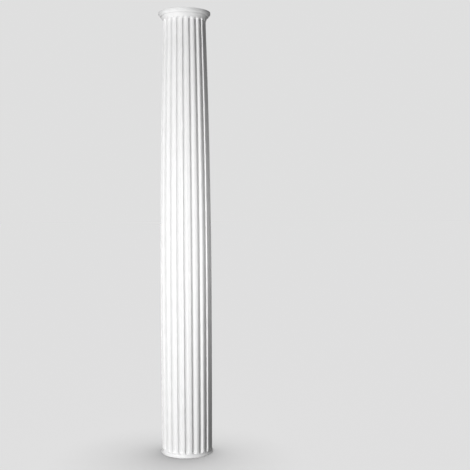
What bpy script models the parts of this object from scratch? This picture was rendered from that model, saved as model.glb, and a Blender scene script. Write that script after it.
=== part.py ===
"""A tall fluted column shaft, moulded in one piece of rigid foam and primed white.

The shaft swells a little in its lower third and narrows to the neck. Half-round
flutes with rounded ends run its whole length. A hollow flare carries the plain
round band at its top, with a short sloping member between the two, and a small
flare and a thin rim finish its foot.

Metres, +Z up. The origin is the centre of the underside, and a flute faces -Y.
"""

import math

import bmesh
import bpy

# Heights, from the floor up
COLUMN_HEIGHT = 2.400
FOOT_RIM_HEIGHT = 0.003
FOOT_FLARE_HEIGHT = 0.011
BELLY_HEIGHT = 0.880
NECK_FLARE_HEIGHT = 0.038
SLOPE_HEIGHT = 0.011
BAND_HEIGHT = 0.011

# Radii
FOOT_RIM_RADIUS = 0.1428
FOOT_RADIUS = 0.1363
BELLY_RADIUS = 0.1388
NECK_RADIUS = 0.1147
SLOPE_FOOT_RADIUS = 0.1320
BAND_RADIUS = 0.1407

# The curve of the shaft: 2 is a parabola
UPPER_SWELL_POWER = 1.89
LOWER_SWELL_POWER = 2.0

# How far each flare turns outwards from the shaft's upright line
NECK_FLARE_TURN = math.radians(42.0)
FOOT_FLARE_TURN = math.radians(55.0)

# The steps in under the band and under the sloping member, and the band's broken edges
BAND_STEP = 0.0020
SLOPE_STEP = 0.0030
BAND_ARRIS = 0.0012

# Flutes: their number, the flat fillet's share of the pitch, and their depth against half their width
FLUTE_COUNT = 22
FILLET_SHARE = 0.27
FLUTE_ROUNDNESS = 1.05

# How far the flutes run up into the neck's flare, and the plain surface left beyond either end
FLUTES_INTO_FLARE = 0.0195
FLUTE_MARGIN = 0.0010

# Fineness of the mesh
FLUTE_FACETS = 8
FLUTE_END_ROWS = 3
SHAFT_ROWS = 8
ROUND_SIDES = 4 * FLUTE_COUNT
NECK_FLARE_ROWS = 4
FOOT_FLARE_ROWS = 3
SMOOTH_UNDER = math.radians(35.0)

PRIMER_WHITE = (0.87, 0.87, 0.87, 1.0)
PRIMER_ROUGHNESS = 0.55

PITCH = 2.0 * math.pi / FLUTE_COUNT
FLUTE_HALF_ANGLE = 0.5 * PITCH * (1.0 - FILLET_SHARE)
FRONT = -0.5 * math.pi
SEAM = FRONT - 0.5 * PITCH

SHAFT_BOTTOM = FOOT_RIM_HEIGHT + FOOT_FLARE_HEIGHT
BAND_BOTTOM = COLUMN_HEIGHT - BAND_HEIGHT
SLOPE_BOTTOM = BAND_BOTTOM - SLOPE_HEIGHT
SHAFT_TOP = SLOPE_BOTTOM - NECK_FLARE_HEIGHT
FLUTES_BOTTOM = SHAFT_BOTTOM + FLUTE_MARGIN
FLUTES_TOP = SHAFT_TOP + FLUTES_INTO_FLARE


def flare_radius(start, end, share, turn):
    """The radius at this share of a hollow flare, which leaves the upright line and turns outwards."""
    angle = math.asin(share * math.sin(turn))
    return start + (end - start) * (1.0 - math.cos(angle)) / (1.0 - math.cos(turn))


def surface_radius(height):
    """The radius of the fillets, and of the flares above and below them, at this height."""
    if height > SHAFT_TOP:
        share = (height - SHAFT_TOP) / NECK_FLARE_HEIGHT
        return flare_radius(NECK_RADIUS, SLOPE_FOOT_RADIUS - SLOPE_STEP, share, NECK_FLARE_TURN)
    if height > BELLY_HEIGHT:
        share = (height - BELLY_HEIGHT) / (SHAFT_TOP - BELLY_HEIGHT)
        return BELLY_RADIUS - (BELLY_RADIUS - NECK_RADIUS) * share**UPPER_SWELL_POWER
    if height > SHAFT_BOTTOM:
        share = (BELLY_HEIGHT - height) / (BELLY_HEIGHT - SHAFT_BOTTOM)
        return BELLY_RADIUS - (BELLY_RADIUS - FOOT_RADIUS) * share**LOWER_SWELL_POWER
    share = (SHAFT_BOTTOM - height) / FOOT_FLARE_HEIGHT
    return flare_radius(FOOT_RADIUS, FOOT_RIM_RADIUS, share, FOOT_FLARE_TURN)


def flute_half_width(height):
    return surface_radius(height) * math.sin(FLUTE_HALF_ANGLE)


def add_point(mesh, angle, radius, height):
    """A point of a loop: its angle round the axis, kept for joining loops, and its vertex."""
    place = (radius * math.cos(angle), radius * math.sin(angle), height)
    return angle, mesh.verts.new(place)


def add_face(mesh, corners):
    """A face through these points, in the order given, with repeated corners left out."""
    distinct = list(dict.fromkeys(vertex for _, vertex in corners))
    if len(distinct) > 2:
        mesh.faces.new(distinct)


def round_loop(mesh, radius, height):
    """A plain circle of points."""
    step = 2.0 * math.pi / ROUND_SIDES
    return [add_point(mesh, SEAM + step * side, radius, height) for side in range(ROUND_SIDES)]


def join_loops(mesh, lower, upper):
    """Fills the strip between two loops round the axis, whatever number of points each has."""
    full_turn = 2.0 * math.pi
    lower = lower + [(lower[0][0] + full_turn, lower[0][1])]
    upper = upper + [(upper[0][0] + full_turn, upper[0][1])]
    low, high = 0, 0
    tie = 1e-6
    while low < len(lower) - 1 or high < len(upper) - 1:
        next_low = lower[low + 1][0] if low < len(lower) - 1 else math.inf
        next_high = upper[high + 1][0] if high < len(upper) - 1 else math.inf
        if abs(next_low - next_high) < tie:
            add_face(mesh, [lower[low], lower[low + 1], upper[high + 1], upper[high]])
            low += 1
            high += 1
        elif next_low < next_high:
            add_face(mesh, [lower[low], lower[low + 1], upper[high]])
            low += 1
        else:
            add_face(mesh, [lower[low], upper[high + 1], upper[high]])
            high += 1


def flute_points(mesh, flute, height, lean, edges=None):
    """One flute's points from its left edge to its right edge.

    The half-round section leans by this angle out of the level plane, about the line
    through its two edges. At a quarter turn it lies on the shaft's own surface. Rows
    of a rounded end share the two edge points that are handed in.
    """
    middle = FRONT + PITCH * flute
    half_width = flute_half_width(height)
    depth = half_width * FLUTE_ROUNDNESS
    points = []
    for facet in range(FLUTE_FACETS + 1):
        turn = math.pi * facet / FLUTE_FACETS
        angle = middle - FLUTE_HALF_ANGLE * math.cos(turn)
        level = height + half_width * math.sin(turn) * math.sin(lean)
        radius = surface_radius(level) - depth * math.sin(turn) * math.cos(lean)
        if edges and facet == 0:
            points.append(edges[0])
        elif edges and facet == FLUTE_FACETS:
            points.append(edges[1])
        else:
            points.append(add_point(mesh, angle, radius, level))
    return points


def fluted_loop(mesh, height):
    """The section of the shaft at this height, flute by flute, with the fillets' middles."""
    flutes, fillets = [], []
    for flute in range(FLUTE_COUNT):
        fillets.append(add_point(mesh, SEAM + PITCH * flute, surface_radius(height), height))
        flutes.append(flute_points(mesh, flute, height, 0.0))
    return flutes, fillets


def as_loop(flutes, fillets):
    return [point for fillet, flute in zip(fillets, flutes) for point in [fillet, *flute]]


def rounded_ends(mesh, flutes, fillets, height, upwards):
    """Closes every flute with a quarter of a ball, and gives the loop of points round its rim."""
    rims = []
    for flute, row in enumerate(flutes):
        edges = (row[0], row[-1])
        for step in range(1, FLUTE_END_ROWS + 1):
            lean = 0.5 * math.pi * step / FLUTE_END_ROWS
            next_row = flute_points(mesh, flute, height, lean if upwards else -lean, edges)
            lower, upper = (row, next_row) if upwards else (next_row, row)
            for facet in range(FLUTE_FACETS):
                add_face(mesh, [lower[facet], lower[facet + 1], upper[facet + 1], upper[facet]])
            row = next_row
        rims.append(row)
    return as_loop(rims, fillets)


def flare_rows(lowest, highest, count):
    """(radius, height) of evenly spaced circles up a flare, with both its ends."""
    heights = [lowest + (highest - lowest) * row / count for row in range(count + 1)]
    return [(surface_radius(height), height) for height in heights]


def join_circles(mesh, profile):
    """Circles of these radii and heights, joined up in order. Gives the first and the last."""
    loops = [round_loop(mesh, radius, height) for radius, height in profile]
    for lower, upper in zip(loops, loops[1:]):
        join_loops(mesh, lower, upper)
    return loops[0], loops[-1]


def column_mesh():
    mesh = bmesh.new()

    # The foot: its rim and its flare, up to the bottom of the shaft
    foot = [(FOOT_RIM_RADIUS, 0.0)]
    foot += flare_rows(FOOT_RIM_HEIGHT, SHAFT_BOTTOM, FOOT_FLARE_ROWS)
    underside, foot_top = join_circles(mesh, foot)

    # The fluted shaft, with its lowest and highest rows at the start of the rounded ends
    lowest = FLUTES_BOTTOM + flute_half_width(FLUTES_BOTTOM)
    highest = FLUTES_TOP - flute_half_width(SHAFT_TOP)
    rows = []
    for row in range(SHAFT_ROWS + 1):
        height = lowest + (highest - lowest) * row / SHAFT_ROWS
        rows.append(fluted_loop(mesh, height))
    for lower, upper in zip(rows, rows[1:]):
        join_loops(mesh, as_loop(*lower), as_loop(*upper))
    join_loops(mesh, foot_top, rounded_ends(mesh, *rows[0], lowest, False))
    shaft_rim = rounded_ends(mesh, *rows[-1], highest, True)

    # The neck's flare above the flutes, the sloping member and the band
    neck = flare_rows(FLUTES_TOP + FLUTE_MARGIN, SLOPE_BOTTOM, NECK_FLARE_ROWS)
    neck += [
        (SLOPE_FOOT_RADIUS, SLOPE_BOTTOM),
        (BAND_RADIUS - BAND_STEP - BAND_ARRIS, BAND_BOTTOM),
        (BAND_RADIUS - BAND_ARRIS, BAND_BOTTOM),
        (BAND_RADIUS, BAND_BOTTOM + BAND_ARRIS),
        (BAND_RADIUS, COLUMN_HEIGHT - BAND_ARRIS),
        (BAND_RADIUS - BAND_ARRIS, COLUMN_HEIGHT),
    ]
    neck_bottom, top = join_circles(mesh, neck)
    join_loops(mesh, shaft_rim, neck_bottom)

    add_face(mesh, top)
    add_face(mesh, underside[::-1])
    return mesh


def primed_foam():
    material = bpy.data.materials.new("primed_foam")
    material.use_nodes = True
    shader = material.node_tree.nodes["Principled BSDF"]
    shader.inputs["Base Color"].default_value = PRIMER_WHITE
    shader.inputs["Roughness"].default_value = PRIMER_ROUGHNESS
    shader.inputs["Metallic"].default_value = 0.0
    return material


def add_column():
    data = bpy.data.meshes.new("column_shaft")
    mesh = column_mesh()
    mesh.to_mesh(data)
    mesh.free()
    data.shade_smooth()
    data.set_sharp_from_angle(angle=SMOOTH_UNDER)
    data.materials.append(primed_foam())
    column = bpy.data.objects.new("column_shaft", data)
    bpy.context.scene.collection.objects.link(column)


for old in list(bpy.data.objects):
    bpy.data.objects.remove(old, do_unlink=True)
add_column()
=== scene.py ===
# %% [markdown]
# # A fluted column shaft, primed white
#
# The real object is the tall middle of a decorative classical column. It is cast in one piece of
# rigid foam in a mould and sprayed with white primer. Its outline is a slow curve that swells in
# the lower part and narrows to the neck. Round hollows called flutes run up it, with narrow flats
# called fillets between them. A flare and a plain round band top it, and a small flare finishes
# its foot.
#
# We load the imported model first. It gives the size and the place that everything here must keep.

import math

import bmesh
import bpy
from mathutils import Matrix, Vector


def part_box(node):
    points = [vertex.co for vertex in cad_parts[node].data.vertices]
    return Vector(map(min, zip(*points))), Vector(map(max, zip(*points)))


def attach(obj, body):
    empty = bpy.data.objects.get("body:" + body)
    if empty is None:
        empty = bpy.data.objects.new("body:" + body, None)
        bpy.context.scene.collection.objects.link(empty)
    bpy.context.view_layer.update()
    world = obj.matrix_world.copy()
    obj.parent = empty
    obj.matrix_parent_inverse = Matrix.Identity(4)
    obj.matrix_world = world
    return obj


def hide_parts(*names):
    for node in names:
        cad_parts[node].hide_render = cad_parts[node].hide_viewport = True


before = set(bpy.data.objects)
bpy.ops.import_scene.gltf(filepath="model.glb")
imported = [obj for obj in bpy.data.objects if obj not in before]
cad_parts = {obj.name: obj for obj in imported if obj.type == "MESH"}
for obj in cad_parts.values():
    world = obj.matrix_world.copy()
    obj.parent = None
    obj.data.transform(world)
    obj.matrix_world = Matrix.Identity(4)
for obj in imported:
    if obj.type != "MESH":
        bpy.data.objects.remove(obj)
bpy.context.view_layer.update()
shaft_low, shaft_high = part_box("column_shaft")
print("lowest corner:", [round(side, 4) for side in shaft_low])
print("highest corner:", [round(side, 4) for side in shaft_high])

# %% [markdown]
# ## The outline
#
# A column is drawn from a few sizes: its height, and its radius at the foot, the belly, the neck
# and the band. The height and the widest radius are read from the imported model, and the others are
# set beside them. All sizes are in metres.

# %% The driving sizes
MM_PER_METRE = 1000.0

COLUMN_HEIGHT = shaft_high[2]
FOOT_RIM_RADIUS = 0.5 * (shaft_high[0] - shaft_low[0])

FOOT_RIM_HEIGHT = 0.003
FOOT_FLARE_HEIGHT = 0.011
BELLY_HEIGHT = 0.880
NECK_FLARE_HEIGHT = 0.038
SLOPE_HEIGHT = 0.011
BAND_HEIGHT = 0.011

FOOT_RADIUS = 0.1363
BELLY_RADIUS = 0.1388
NECK_RADIUS = 0.1147
SLOPE_FOOT_RADIUS = 0.1320
BAND_RADIUS = 0.1407
BAND_STEP = 0.0020
SLOPE_STEP = 0.0030

# The curve of the outline: 2 would be a parabola
UPPER_SWELL_POWER = 1.89
LOWER_SWELL_POWER = 2.0

# How far each flare turns outwards from the shaft's upright line
NECK_FLARE_TURN = math.radians(42.0)
FOOT_FLARE_TURN = math.radians(55.0)

SHAFT_BOTTOM = FOOT_RIM_HEIGHT + FOOT_FLARE_HEIGHT
BAND_BOTTOM = COLUMN_HEIGHT - BAND_HEIGHT
SLOPE_BOTTOM = BAND_BOTTOM - SLOPE_HEIGHT
SHAFT_TOP = SLOPE_BOTTOM - NECK_FLARE_HEIGHT
print("the shaft proper runs from", round(SHAFT_BOTTOM, 4), "to", round(SHAFT_TOP, 4), "m")

# %% [markdown]
# The radius at any height follows from those sizes. The outline could be drawn by hand as a Bezier
# curve. A formula suits it better, because the flutes follow the outline and ask for its radius at
# many heights. The shaft is two power curves that meet at the belly. A flare is an arc that leaves
# the upright line and turns outwards, like the bell of a trumpet.


# %% The radius at a height
def flare_radius(start, end, share, turn):
    """The radius at this share of a flare's height."""
    angle = math.asin(share * math.sin(turn))
    return start + (end - start) * (1.0 - math.cos(angle)) / (1.0 - math.cos(turn))


def surface_radius(height):
    """The radius of the fillets, and of the flares above and below them."""
    if height > SHAFT_TOP:
        share = (height - SHAFT_TOP) / NECK_FLARE_HEIGHT
        return flare_radius(NECK_RADIUS, SLOPE_FOOT_RADIUS - SLOPE_STEP, share, NECK_FLARE_TURN)
    if height > BELLY_HEIGHT:
        share = (height - BELLY_HEIGHT) / (SHAFT_TOP - BELLY_HEIGHT)
        return BELLY_RADIUS - (BELLY_RADIUS - NECK_RADIUS) * share**UPPER_SWELL_POWER
    if height > SHAFT_BOTTOM:
        share = (BELLY_HEIGHT - height) / (BELLY_HEIGHT - SHAFT_BOTTOM)
        return BELLY_RADIUS - (BELLY_RADIUS - FOOT_RADIUS) * share**LOWER_SWELL_POWER
    share = (SHAFT_BOTTOM - height) / FOOT_FLARE_HEIGHT
    return flare_radius(FOOT_RADIUS, FOOT_RIM_RADIUS, share, FOOT_FLARE_TURN)


for height in (SHAFT_BOTTOM, BELLY_HEIGHT, SHAFT_TOP):
    print("radius at", round(height, 3), "m:", round(surface_radius(height), 4), "m")

# %% [markdown]
# ## One gore of the column
#
# Twenty-two flutes go round the shaft, all alike. They could be cut out of a turned shaft with a
# Boolean modifier, but that leaves long thin faces and rough ends. So we model one gore, a strip
# as wide as one flute with half a fillet on each side, and repeat it. This keeps the mesh even,
# and one change reaches every flute.
#
# A flute is a half-round hollow with a ball-shaped end. Its section is one line: it starts on the
# fillet, rolls over a soft edge, and runs down a quarter circle to the deepest point. The same
# line is carried up one side, round the end and down the other side, so the soft edge goes all the
# way round the flute.

# %% Flute sizes
FLUTE_COUNT = 22
FILLET_SHARE = 0.27
FLUTE_ROUNDNESS = 1.05
FLUTES_INTO_FLARE = 0.0195
FLUTE_MARGIN = 0.0010
SOFT_EDGE = 0.0008

PITCH = 2.0 * math.pi / FLUTE_COUNT
FLUTE_HALF_ANGLE = 0.5 * PITCH * (1.0 - FILLET_SHARE)
FRONT = -0.5 * math.pi
FLUTES_BOTTOM = SHAFT_BOTTOM + FLUTE_MARGIN
FLUTES_TOP = SHAFT_TOP + FLUTES_INTO_FLARE

SOFT_EDGE_STEPS = 3
WALL_STEPS = 9
END_STEPS = 24
FILLET_STEPS = 3
SHAFT_STEPS = 28


def flute_half_width(height):
    return surface_radius(height) * math.sin(FLUTE_HALF_ANGLE)


belly_flute_width = 2.0 * flute_half_width(BELLY_HEIGHT)
print("a flute is", round(MM_PER_METRE * belly_flute_width, 1), "mm wide at the belly")


# %% The section line of a flute
def flute_section(half_width):
    """(distance from the flute's middle line, depth) from the fillet in to the deepest point."""
    line = []
    for step in range(SOFT_EDGE_STEPS):
        turn = 0.5 * math.pi * step / SOFT_EDGE_STEPS
        away = half_width + SOFT_EDGE * (1.0 - math.sin(turn))
        line.append((away, SOFT_EDGE * (1.0 - math.cos(turn))))
    full_depth = half_width * FLUTE_ROUNDNESS
    start = math.asin(SOFT_EDGE / full_depth)
    for step in range(WALL_STEPS + 1):
        turn = start + (0.5 * math.pi - start) * step / WALL_STEPS
        line.append((half_width * math.cos(turn), full_depth * math.sin(turn)))
    return line


section = flute_section(0.5 * belly_flute_width)
print("the section line has", len(section), "points")
print("it is", round(MM_PER_METRE * section[-1][1], 1), "mm deep at the belly")

# %% [markdown]
# A point of the gore is given by three numbers: the angle across from the gore's middle, the
# height, and the depth under the outline. Patches are rows of such points, from the bottom row up
# and from left to right, so every face turns outwards. A float attribute keeps how deep in a flute
# each point lies, and the finish uses it later to paint shade into the flutes.


# %% Points and patches
def gore_point(mesh, across, height, depth=0.0):
    radius = surface_radius(height) - depth
    place = (radius * math.cos(FRONT + across), radius * math.sin(FRONT + across), height)
    vertex = mesh.verts.new(place)
    full_depth = flute_half_width(height) * FLUTE_ROUNDNESS
    # The finish paints shade into the flutes by this depth.
    vertex[mesh.verts.layers.float["hollow"]] = depth / full_depth
    return vertex


def ring_point(mesh, across, radius, height):
    place = (radius * math.cos(FRONT + across), radius * math.sin(FRONT + across), height)
    return mesh.verts.new(place)


def lay_patch(mesh, rows):
    """Faces between rows of points, given from the lowest row up."""
    for lower, upper in zip(rows, rows[1:]):
        for side in range(len(lower) - 1):
            mesh.faces.new((lower[side], lower[side + 1], upper[side + 1], upper[side]))


print("one gore is", round(math.degrees(PITCH), 2), "degrees wide")


# %% [markdown]
# The straight part is a sheet of upright columns of faces. From left to right it crosses half a
# fillet, the flute and the other half fillet. The section is turned over for the flute's left
# side.


# %% The straight part of the gore
def straight_rows(mesh, lowest, highest):
    rows = []
    for step in range(SHAFT_STEPS + 1):
        height = lowest + (highest - lowest) * step / SHAFT_STEPS
        half_width = flute_half_width(height)
        line = flute_section(half_width)
        edge = FLUTE_HALF_ANGLE * line[0][0] / half_width
        parts = range(1, FILLET_STEPS + 1)
        fillet = [edge + (0.5 * PITCH - edge) * part / FILLET_STEPS for part in parts]
        right = [(FLUTE_HALF_ANGLE * away / half_width, depth) for away, depth in reversed(line)]
        right += [(across, 0.0) for across in fillet]
        left = [(-across, depth) for across, depth in reversed(right[1:])]
        rows.append([gore_point(mesh, across, height, depth) for across, depth in left + right])
    return rows


print("the straight part has", SHAFT_STEPS, "rows of faces")


# %% [markdown]
# Each end of a flute is a quarter of a ball. A ball could be set into the gore, but its rim would
# not meet the straight edges point for point. So the section line itself swings round the flute's
# middle, from the left side over the end to the right side. Outside it, a patch fills the corner
# up to a level line, with its outer points first up the left border, then along the level line and
# down the right border.


# %% The rounded ends of the gore
SIDE_SHARE = 0.25


def border_point(share, spring, level):
    """(angle across, height) along the border outside a flute's end. The share goes from 0 to 1."""
    half = 0.5 * PITCH
    if share < SIDE_SHARE:
        return -half, spring + (level - spring) * share / SIDE_SHARE
    if share > 1.0 - SIDE_SHARE:
        return half, spring + (level - spring) * (1.0 - share) / SIDE_SHARE
    return -half + PITCH * (share - SIDE_SHARE) / (1.0 - 2.0 * SIDE_SHARE), level


def lay_rounded_end(mesh, spring, level):
    """The ball end that starts at the height spring, and the plain corner up to the level line."""
    upwards = 1.0 if level > spring else -1.0
    half_width = flute_half_width(spring)
    line = flute_section(half_width)
    rows = []
    for away, depth in reversed(line):
        row = []
        for step in range(END_STEPS + 1):
            turn = math.pi * (step / END_STEPS - 0.5)
            across = FLUTE_HALF_ANGLE * away / half_width * math.sin(turn)
            row.append(gore_point(mesh, across, spring + upwards * away * math.cos(turn), depth))
        rows.append(row)
    rim = line[0][0]
    for part in range(1, FILLET_STEPS + 1):
        row = []
        for step in range(END_STEPS + 1):
            turn = math.pi * (step / END_STEPS - 0.5)
            rim_across = FLUTE_HALF_ANGLE * rim / half_width * math.sin(turn)
            rim_height = spring + upwards * rim * math.cos(turn)
            border_across, border_height = border_point(step / END_STEPS, spring, level)
            share = part / FILLET_STEPS
            across = rim_across + (border_across - rim_across) * share
            height = rim_height + (border_height - rim_height) * share
            row.append(gore_point(mesh, across, height))
        rows.append(row)
    lay_patch(mesh, rows if upwards > 0 else rows[::-1])


print("the ball end of a flute has", END_STEPS * (len(section) - 1), "faces")


# %% [markdown]
# Above and below the flutes the gore is plain, so a list of (radius, height) describes it. A Screw
# modifier could turn that list into a ring. As a strip of the gore it shares its border with the
# flute's patches, and no seam is left. At the top the flare carries a short sloping member, and
# that carries the band. Under each of these two there is a small step, cut in as a narrow groove,
# which gives the thin dark line that sets them apart. The top and the underside are flat and close
# at the axis.


# %% The plain mouldings of the gore
PLAIN_MARGIN = 0.0020
BAND_ARRIS = 0.0012
SLOPE_ARRIS = 0.0008
SLOPE_GROOVE_HEIGHT = 0.0024
SLOPE_GROOVE_DEPTH = 0.0030
BAND_GROOVE_HEIGHT = 0.0016
BAND_GROOVE_DEPTH = 0.0020
RIM_ARRIS = 0.0006
PLAIN_STEPS = END_STEPS // 2
FLARE_STEPS = 12
SLOPE_STEPS = 4
ARRIS_STEPS = 4


def quarter_round(radius, height, size, start):
    """An arc of a quarter turn about (radius, height), from this angle on."""
    turns = [start + 0.5 * math.pi * step / ARRIS_STEPS for step in range(ARRIS_STEPS + 1)]
    return [(radius + size * math.cos(turn), height + size * math.sin(turn)) for turn in turns]


def groove(radius, top, height, depth):
    """The two inner corners of a groove that ends at this height and is cut into this radius."""
    return [(radius - depth, top - height), (radius - depth, top)]


def neck_profile(start):
    end = SLOPE_BOTTOM - SLOPE_GROOVE_HEIGHT
    rows = [start + (end - start) * step / FLARE_STEPS for step in range(FLARE_STEPS + 1)]
    profile = [(surface_radius(height), height) for height in rows]
    profile += groove(profile[-1][0], SLOPE_BOTTOM, SLOPE_GROOVE_HEIGHT, SLOPE_GROOVE_DEPTH)
    profile.append((SLOPE_FOOT_RADIUS - SLOPE_ARRIS, SLOPE_BOTTOM))
    slope_start = SLOPE_BOTTOM + SLOPE_ARRIS
    slope_end = BAND_BOTTOM - BAND_GROOVE_HEIGHT
    slope_end_radius = BAND_RADIUS - BAND_STEP - BAND_ARRIS
    for step in range(SLOPE_STEPS + 1):
        share = step / SLOPE_STEPS
        radius = SLOPE_FOOT_RADIUS + (slope_end_radius - SLOPE_FOOT_RADIUS) * share
        profile.append((radius, slope_start + (slope_end - slope_start) * share))
    profile += groove(slope_end_radius, BAND_BOTTOM, BAND_GROOVE_HEIGHT, BAND_GROOVE_DEPTH)
    inside = BAND_RADIUS - BAND_ARRIS
    profile += quarter_round(inside, BAND_BOTTOM + BAND_ARRIS, BAND_ARRIS, -0.5 * math.pi)
    profile += quarter_round(inside, COLUMN_HEIGHT - BAND_ARRIS, BAND_ARRIS, 0.0)
    profile += [(0.5 * BAND_RADIUS, COLUMN_HEIGHT), (0.0, COLUMN_HEIGHT)]
    return profile


def foot_profile(end):
    profile = [(0.0, 0.0), (0.5 * FOOT_RIM_RADIUS, 0.0)]
    profile += quarter_round(FOOT_RIM_RADIUS - RIM_ARRIS, RIM_ARRIS, RIM_ARRIS, -0.5 * math.pi)
    profile.append((FOOT_RIM_RADIUS, FOOT_RIM_HEIGHT))
    rise = (end - FOOT_RIM_HEIGHT) / FLARE_STEPS
    rows = [FOOT_RIM_HEIGHT + rise * step for step in range(1, FLARE_STEPS + 1)]
    profile += [(surface_radius(height), height) for height in rows]
    return profile


def lay_profile(mesh, profile):
    rows = []
    for radius, height in profile:
        angles = [PITCH * (step / PLAIN_STEPS - 0.5) for step in range(PLAIN_STEPS + 1)]
        rows.append([ring_point(mesh, across, radius, height) for across in angles])
    lay_patch(mesh, rows)


print("the foot's outline has", len(foot_profile(FLUTES_BOTTOM - PLAIN_MARGIN)), "points")
print("the neck's outline has", len(neck_profile(FLUTES_TOP + PLAIN_MARGIN)), "points")

# %% [markdown]
# The patches are laid from the underside up to the flat top. Neighbours have the same points along
# their shared border, so merging the points that lie closer than a hundredth of a millimetre makes
# them one sheet.

# %% Join the patches into one gore
WELD = 0.00001


def make_gore():
    mesh = bmesh.new()
    mesh.verts.layers.float.new("hollow")
    lowest = FLUTES_BOTTOM + flute_half_width(FLUTES_BOTTOM)
    highest = FLUTES_TOP - flute_half_width(SHAFT_TOP)
    foot_level = FLUTES_BOTTOM - PLAIN_MARGIN
    neck_level = FLUTES_TOP + PLAIN_MARGIN
    lay_profile(mesh, foot_profile(foot_level))
    lay_rounded_end(mesh, lowest, foot_level)
    lay_patch(mesh, straight_rows(mesh, lowest, highest))
    lay_rounded_end(mesh, highest, neck_level)
    lay_profile(mesh, neck_profile(neck_level))
    bmesh.ops.remove_doubles(mesh, verts=mesh.verts, dist=WELD)
    gore = bpy.data.meshes.new("column_gore")
    mesh.to_mesh(gore)
    mesh.free()
    return gore


gore = make_gore()
print("one gore has", len(gore.polygons), "faces")

# %% [markdown]
# ## Primer on moulded foam
#
# The column is rigid polyurethane foam. Its moulded skin is smooth, with a faint orange-peel grain
# from the sprayed primer, so light spreads wide on it and there is only a soft sheen. The primer
# is a clean white. Shade is painted into the flutes: the white gets a little darker the deeper a
# point lies in them, which the hollow attribute lets us show. Dry paint has an index of refraction
# of about 1.5, which is the shader's own value, so only the roughness is set.


# %% Colours and nodes
SRGB_KNEE = 0.04045
SRGB_SLOPE = 12.92
SRGB_OFFSET = 0.055
SRGB_POWER = 2.4
BYTE = 255.0


def linear(hex_colour):
    """A colour from an sRGB hex value, as the linear values that Blender wants."""
    channels = [int(hex_colour[place : place + 2], 16) / BYTE for place in (1, 3, 5)]
    return (*(channel_to_linear(channel) for channel in channels), 1.0)


def channel_to_linear(channel):
    """The sRGB standard's curve: a short straight part near black, and a power above it."""
    if channel <= SRGB_KNEE:
        return channel / SRGB_SLOPE
    return ((channel + SRGB_OFFSET) / (1.0 + SRGB_OFFSET)) ** SRGB_POWER


def add_node(tree, kind, settings=None, values=None, links=None):
    """A node with its settings, its inputs' values, and the outputs linked into its inputs."""
    node = tree.nodes.new(kind)
    for name, value in (settings or {}).items():
        setattr(node, name, value)
    for name, value in (values or {}).items():
        node.inputs[name].default_value = value
    for name, source in (links or {}).items():
        tree.links.new(source, node.inputs[name])
    return node


def per_metre(millimetres):
    """The scale of a noise whose features are this far apart."""
    return MM_PER_METRE / millimetres


print("middle grey #808080 is", round(linear("#808080")[0], 3), "as a linear value")

# %% [markdown]
# The finish could be an image painted for the shaft, but noise needs no unwrapping and stays sharp
# from close by. The colour mixes two near-whites by a wide, soft noise, and then a darker third
# one by how deep in a flute the point lies, which is painted shade. The same noise makes the satin
# a little duller in places. The grain is a bump. Real orange peel is about a millimetre across, and
# it is drawn twice as coarse, so that a close view shows it. A slow unevenness of the mould, about
# 45 mm from one rise to the next, is added to it.

# %% The primed foam
PRIMER_WHITE = "#F0F0F0"
PRIMER_SHADE = "#EAEAEA"
# Painted shade: the flutes are mixed towards this darker white the deeper they go.
PAINTED_FLUTE_SHADE = "#E8E8E8"
MOTTLE_MM = 60.0
MOTTLE_DETAIL = 3.0
PEEL_MM = 2.0
PEEL_DETAIL = 2.0
PEEL_DEPTH = 0.00003
WAVE_MM = 45.0
WAVE_DETAIL = 1.0
WAVE_DEPTH = 0.00006
ROUGHNESS_LOW = 0.46
ROUGHNESS_HIGH = 0.54

# A noise stays between these values nearly everywhere
NOISE_LOW = 0.35
NOISE_HIGH = 0.65

# Where the colour inputs and the colour output of a Mix node sit
MIX_A, MIX_B, MIX_RESULT = 6, 7, 2


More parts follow.
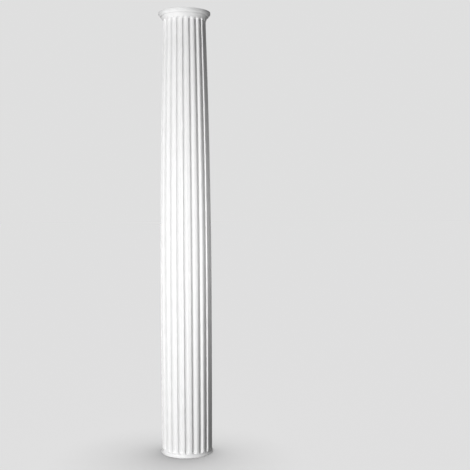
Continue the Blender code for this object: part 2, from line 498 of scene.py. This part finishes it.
def primed_moulded_foam():
    material = bpy.data.materials.new("primed_moulded_foam")
    material.use_nodes = True
    tree = material.node_tree
    shader = tree.nodes["Principled BSDF"]
    place = add_node(tree, "ShaderNodeTexCoord").outputs["Object"]

    mottle = add_node(
        tree,
        "ShaderNodeTexNoise",
        values={"Scale": per_metre(MOTTLE_MM), "Detail": MOTTLE_DETAIL},
        links={"Vector": place},
    )
    spread = add_node(
        tree,
        "ShaderNodeMapRange",
        values={"From Min": NOISE_LOW, "From Max": NOISE_HIGH},
        links={"Value": mottle.outputs["Fac"]},
    )
    skin = add_node(
        tree,
        "ShaderNodeMix",
        settings={"data_type": "RGBA"},
        values={MIX_A: linear(PRIMER_WHITE), MIX_B: linear(PRIMER_SHADE)},
        links={"Factor": spread.outputs["Result"]},
    )
    hollow = add_node(tree, "ShaderNodeAttribute", settings={"attribute_name": "hollow"})
    # Painted shade in the flutes, darker with depth
    colour = add_node(
        tree,
        "ShaderNodeMix",
        settings={"data_type": "RGBA"},
        values={MIX_B: linear(PAINTED_FLUTE_SHADE)},
        links={"Factor": hollow.outputs["Fac"], MIX_A: skin.outputs[MIX_RESULT]},
    )
    tree.links.new(colour.outputs[MIX_RESULT], shader.inputs["Base Color"])

    sheen = add_node(
        tree,
        "ShaderNodeMapRange",
        values={
            "From Min": NOISE_LOW,
            "From Max": NOISE_HIGH,
            "To Min": ROUGHNESS_LOW,
            "To Max": ROUGHNESS_HIGH,
        },
        links={"Value": mottle.outputs["Fac"]},
    )
    tree.links.new(sheen.outputs["Result"], shader.inputs["Roughness"])

    wave = add_node(
        tree,
        "ShaderNodeTexNoise",
        values={"Scale": per_metre(WAVE_MM), "Detail": WAVE_DETAIL},
        links={"Vector": place},
    )
    uneven = add_node(
        tree,
        "ShaderNodeBump",
        values={"Distance": WAVE_DEPTH},
        links={"Height": wave.outputs["Fac"]},
    )
    peel = add_node(
        tree,
        "ShaderNodeTexNoise",
        values={"Scale": per_metre(PEEL_MM), "Detail": PEEL_DETAIL},
        links={"Vector": place},
    )
    grain = add_node(
        tree,
        "ShaderNodeBump",
        values={"Distance": PEEL_DEPTH},
        links={"Height": peel.outputs["Fac"], "Normal": uneven.outputs["Normal"]},
    )
    tree.links.new(grain.outputs["Normal"], shader.inputs["Normal"])
    return material


primer = primed_moulded_foam()
print("the primer uses", len(primer.node_tree.nodes), "nodes")

# %% [markdown]
# ## Repeat the gore round the axis
#
# Geometry Nodes repeat the gore. An Array modifier turned by an empty would do it too, but the
# tree works out the pitch from the count, and no second object is needed. One point is made for
# each copy, the gore is put on every point and turned by its number times the pitch, and the
# copies become real faces. Their borders meet exactly, so welding close points closes the whole
# shaft into one skin. The count, the weld distance and the material are named inputs, so the same
# tree would make a column with more or fewer flutes.


# %% The tree that repeats the gore
def repeat_tree():
    tree = bpy.data.node_groups.new("gores_round_an_axis", "GeometryNodeTree")
    sockets = (
        ("Geometry", "INPUT", "NodeSocketGeometry"),
        ("Count", "INPUT", "NodeSocketInt"),
        ("Weld Distance", "INPUT", "NodeSocketFloat"),
        ("Finish", "INPUT", "NodeSocketMaterial"),
        ("Geometry", "OUTPUT", "NodeSocketGeometry"),
    )
    for name, direction, kind in sockets:
        tree.interface.new_socket(name, in_out=direction, socket_type=kind)
    given = add_node(tree, "NodeGroupInput")

    points = add_node(tree, "GeometryNodePoints", links={"Count": given.outputs["Count"]})
    number = add_node(tree, "GeometryNodeInputIndex")
    pitch = add_node(
        tree,
        "ShaderNodeMath",
        settings={"operation": "DIVIDE"},
        values={0: 2.0 * math.pi},
        links={1: given.outputs["Count"]},
    )
    angle = add_node(
        tree,
        "ShaderNodeMath",
        settings={"operation": "MULTIPLY"},
        links={0: number.outputs["Index"], 1: pitch.outputs["Value"]},
    )
    turn = add_node(tree, "ShaderNodeCombineXYZ", links={"Z": angle.outputs["Value"]})
    copies = add_node(
        tree,
        "GeometryNodeInstanceOnPoints",
        links={
            "Points": points.outputs["Points"],
            "Instance": given.outputs["Geometry"],
            "Rotation": turn.outputs["Vector"],
        },
    )
    solid = add_node(
        tree,
        "GeometryNodeRealizeInstances",
        links={"Geometry": copies.outputs["Instances"]},
    )
    welded = add_node(
        tree,
        "GeometryNodeMergeByDistance",
        links={"Geometry": solid.outputs["Geometry"], "Distance": given.outputs["Weld Distance"]},
    )
    finished = add_node(
        tree,
        "GeometryNodeSetMaterial",
        links={"Geometry": welded.outputs["Geometry"], "Material": given.outputs["Finish"]},
    )
    add_node(tree, "NodeGroupOutput", links={"Geometry": finished.outputs["Geometry"]})
    return tree


gores_tree = repeat_tree()
print("the tree has", len(gores_tree.nodes), "nodes")


# %% [markdown]
# The tree works as a modifier on a carrier object, and its result is copied into a plain mesh.
# That mesh is the whole shaft: it replaces the imported solid and gets the primer from the tree.
# The faces are shaded smooth, but for edges that bend by more than 38 degrees, which stay crisp
# like the moulded ones.


# %% Make the shaft
def with_tree(mesh, tree, inputs):
    """A plain mesh: this mesh after the tree, whose inputs are given by name."""
    carrier = bpy.data.objects.new("carrier", mesh)
    bpy.context.scene.collection.objects.link(carrier)
    modifier = carrier.modifiers.new("tree", "NODES")
    modifier.node_group = tree
    for item in tree.interface.items_tree:
        if item.in_out == "INPUT" and item.name in inputs:
            modifier[item.identifier] = inputs[item.name]
    evaluated = carrier.evaluated_get(bpy.context.evaluated_depsgraph_get())
    result = bpy.data.meshes.new_from_object(evaluated)
    carrier.modifiers.remove(modifier)
    bpy.data.objects.remove(carrier)
    return result


SMOOTH_UNDER = math.radians(38.0)

given_values = {"Count": FLUTE_COUNT, "Weld Distance": WELD, "Finish": primer}
shaft_mesh = with_tree(gore, gores_tree, given_values)
shaft_mesh.name = "fluted_shaft"
shaft_mesh.shade_smooth()
shaft_mesh.set_sharp_from_angle(angle=SMOOTH_UNDER)
shaft = bpy.data.objects.new("fluted_shaft", shaft_mesh)
bpy.context.scene.collection.objects.link(shaft)
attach(shaft, "root")
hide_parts("column_shaft")
shaft_mesh.calc_loop_triangles()
print("the shaft has", len(shaft_mesh.loop_triangles), "triangles")

# %% [markdown]
# A closed skin has no open edge, and its volume comes out positive only if its faces point
# outwards. So both are measured.

# %% Check that the skin is closed
check = bmesh.new()
check.from_mesh(shaft_mesh)
open_edges = [edge for edge in check.edges if not edge.is_manifold]
print("open edges:", len(open_edges))
print("volume:", round(check.calc_volume(signed=True), 4), "cubic metres")
check.free()

# %% [markdown]
# ## The floor and the backdrop
#
# The shaft stands on a plain floor that runs on into a backdrop of the same pale tone. The floor
# could be white, but then the light that the white shaft throws on it would drown the shadow at
# the foot. So it is grey paper under a strong lamp of its own. It is hidden from the light that
# bounces between objects. Otherwise so much white round the foot would fill the flutes with light,
# and they would lose their shadows.

# %% Floor
FLOOR_RADIUS = 60.0
FLOOR_SIDES = 96
FLOOR_GREY = "#7A7A7A"


def grey_paper():
    material = bpy.data.materials.new("grey_paper")
    material.use_nodes = True
    shader = material.node_tree.nodes["Principled BSDF"]
    shader.inputs["Base Color"].default_value = linear(FLOOR_GREY)
    shader.inputs["Roughness"].default_value = 1.0
    shader.inputs["Specular IOR Level"].default_value = 0.0
    return material


floor_mesh = bpy.data.meshes.new("floor")
disc = bmesh.new()
bmesh.ops.create_circle(disc, cap_ends=True, segments=FLOOR_SIDES, radius=FLOOR_RADIUS)
disc.to_mesh(floor_mesh)
disc.free()
floor_mesh.materials.append(grey_paper())
floor = bpy.data.objects.new("floor", floor_mesh)
floor.visible_diffuse = False
floor.visible_glossy = False
bpy.context.scene.collection.objects.link(floor)
print("the floor reaches", FLOOR_RADIUS, "m from the shaft")

# %% [markdown]
# A sheet of paper could hang behind the shaft, but a world colour is simpler and takes no shadow.
# The camera sees it pale, and everything else gets a dimmer, even light from it.

# %% Backdrop
BACKDROP = 0.74
AIR_STRENGTH = 0.09


def studio_air():
    """A pale backdrop to the camera, and a dimmer even light on everything else."""
    world = bpy.data.worlds.new("studio_air")
    world.use_nodes = True
    tree = world.node_tree
    air = tree.nodes["Background"]
    air.inputs["Color"].default_value = (1.0, 1.0, 1.0, 1.0)
    air.inputs["Strength"].default_value = AIR_STRENGTH
    backdrop = add_node(
        tree,
        "ShaderNodeBackground",
        values={"Color": (1.0, 1.0, 1.0, 1.0), "Strength": BACKDROP},
    )
    seen = add_node(tree, "ShaderNodeLightPath").outputs["Is Camera Ray"]
    mixed = add_node(
        tree,
        "ShaderNodeMixShader",
        links={0: seen, 1: air.outputs["Background"], 2: backdrop.outputs["Background"]},
    )
    tree.links.new(mixed.outputs["Shader"], tree.nodes["World Output"].inputs["Surface"])
    return world


bpy.context.scene.world = studio_air()
bpy.context.scene.view_settings.view_transform = "Standard"
print("the backdrop is", BACKDROP, "bright and the air gives", AIR_STRENGTH)


# %% [markdown]
# A sun lamp high above lights the floor alone, by light linking. Its strength is worked out from
# the two greys, so that the floor comes out as bright as the backdrop and no horizon shows.


# %% Lamp over the floor
def lights_only(light, subject):
    """Keeps a light to one object, which all the others still shade."""
    subjects = bpy.data.collections.new("lit_by_" + light.name)
    subjects.objects.link(subject)
    light.light_linking.receiver_collection = subjects


OVERHEAD_SOFTNESS = math.radians(26.0)
OVERHEAD_TILT = math.radians(4.0)
OVERHEAD_AZIMUTH = math.radians(-20.0)
FLOOR_LIGHT = BACKDROP / linear(FLOOR_GREY)[0] - AIR_STRENGTH
OVERHEAD_STRENGTH = math.pi * FLOOR_LIGHT / math.cos(OVERHEAD_TILT)

overhead_data = bpy.data.lights.new("overhead", "SUN")
overhead_data.energy = OVERHEAD_STRENGTH
overhead_data.angle = OVERHEAD_SOFTNESS
overhead = bpy.data.objects.new("overhead", overhead_data)
overhead.rotation_euler = (-OVERHEAD_TILT, 0.0, OVERHEAD_AZIMUTH)
bpy.context.scene.collection.objects.link(overhead)
lights_only(overhead, floor)
print("overhead strength", round(OVERHEAD_STRENGTH, 3))

# %% [markdown]
# ## The light on the shaft
#
# A softbox stands to the left of the camera, a little below the middle of the shaft. It is near
# enough that both ends of the shaft are a little darker than the middle. A wide one at the far
# left keeps that edge bright, and a weak one close on the right sets how dark the flutes there may
# get. One behind and one above light the sides that the picture does not show, for whoever walks
# round the shaft. The one behind gives no highlights, because from the front they would draw a
# white line along the flare.


# %% Softboxes
MIDDLE = 1.25

# Name, degrees left of the front, distance, height and size in metres, power in watts, and
# whether it gives highlights
SOFTBOXES = (
    ("key_softbox", 25.5, 4.5, 0.95, 0.60, 178.0, True),
    ("left_softbox", 84.0, 2.5, 1.00, 1.35, 16.5, True),
    ("right_softbox", -45.0, 1.2, 1.20, 0.70, 4.0, True),
    ("back_softbox", -168.0, 5.5, 2.60, 1.80, 240.0, False),
    ("top_softbox", 0.0, 0.0, 5.00, 0.30, 34.0, True),
)


def add_softbox(name, azimuth, distance, height, size, power, shine):
    """A disc of light that is aimed at the middle of the shaft."""
    data = bpy.data.lights.new(name, "AREA")
    data.shape = "DISK"
    data.size = size
    data.energy = power
    softbox = bpy.data.objects.new(name, data)
    place = Vector((-distance * math.sin(azimuth), -distance * math.cos(azimuth), height))
    aim = (Vector((0.0, 0.0, MIDDLE)) - place).to_track_quat("-Z", "Y").to_matrix().to_4x4()
    softbox.matrix_world = Matrix.Translation(place) @ aim
    softbox.visible_camera = False
    softbox.visible_glossy = shine
    bpy.context.scene.collection.objects.link(softbox)
    lights_only(softbox, shaft)


for name, degrees, distance, height, size, power, shine in SOFTBOXES:
    add_softbox(name, math.radians(degrees), distance, height, size, power, shine)
print("the shaft has", len(SOFTBOXES), "softboxes")

# %% [markdown]
# ## The camera
#
# The camera stands a little above the middle of the shaft and looks slightly down and to the right
# of it, so the shaft sits left of the middle of the picture and its rims show as flat ellipses.
# These values come from fitting the shaft's outline and both rims.

# %% Camera
PICTURE_SIZE = 470
FOCAL_PIXELS = 822.1
CAMERA_DISTANCE = 4.514
CAMERA_HEIGHT = 1.353
CAMERA_YAW = math.radians(3.415)
CAMERA_PITCH = math.radians(-2.037)
CAMERA_ROLL = math.radians(-0.289)
SENSOR_WIDTH = 36.0

forward = Vector(
    (
        math.sin(CAMERA_YAW) * math.cos(CAMERA_PITCH),
        math.cos(CAMERA_YAW) * math.cos(CAMERA_PITCH),
        math.sin(CAMERA_PITCH),
    )
)
level_right = forward.cross(Vector((0.0, 0.0, 1.0))).normalized()
right = Matrix.Rotation(CAMERA_ROLL, 3, -forward) @ level_right
up = right.cross(forward)
camera_data = bpy.data.cameras.new("camera")
camera_data.sensor_fit = "HORIZONTAL"
camera_data.sensor_width = SENSOR_WIDTH
camera_data.lens = SENSOR_WIDTH * FOCAL_PIXELS / PICTURE_SIZE
camera = bpy.data.objects.new("camera", camera_data)
turned = Matrix((right, up, -forward)).transposed().to_4x4()
camera.matrix_world = Matrix.Translation((0.0, -CAMERA_DISTANCE, CAMERA_HEIGHT)) @ turned
bpy.context.scene.collection.objects.link(camera)
bpy.context.scene.camera = camera
print("lens", round(camera_data.lens, 1), "mm")
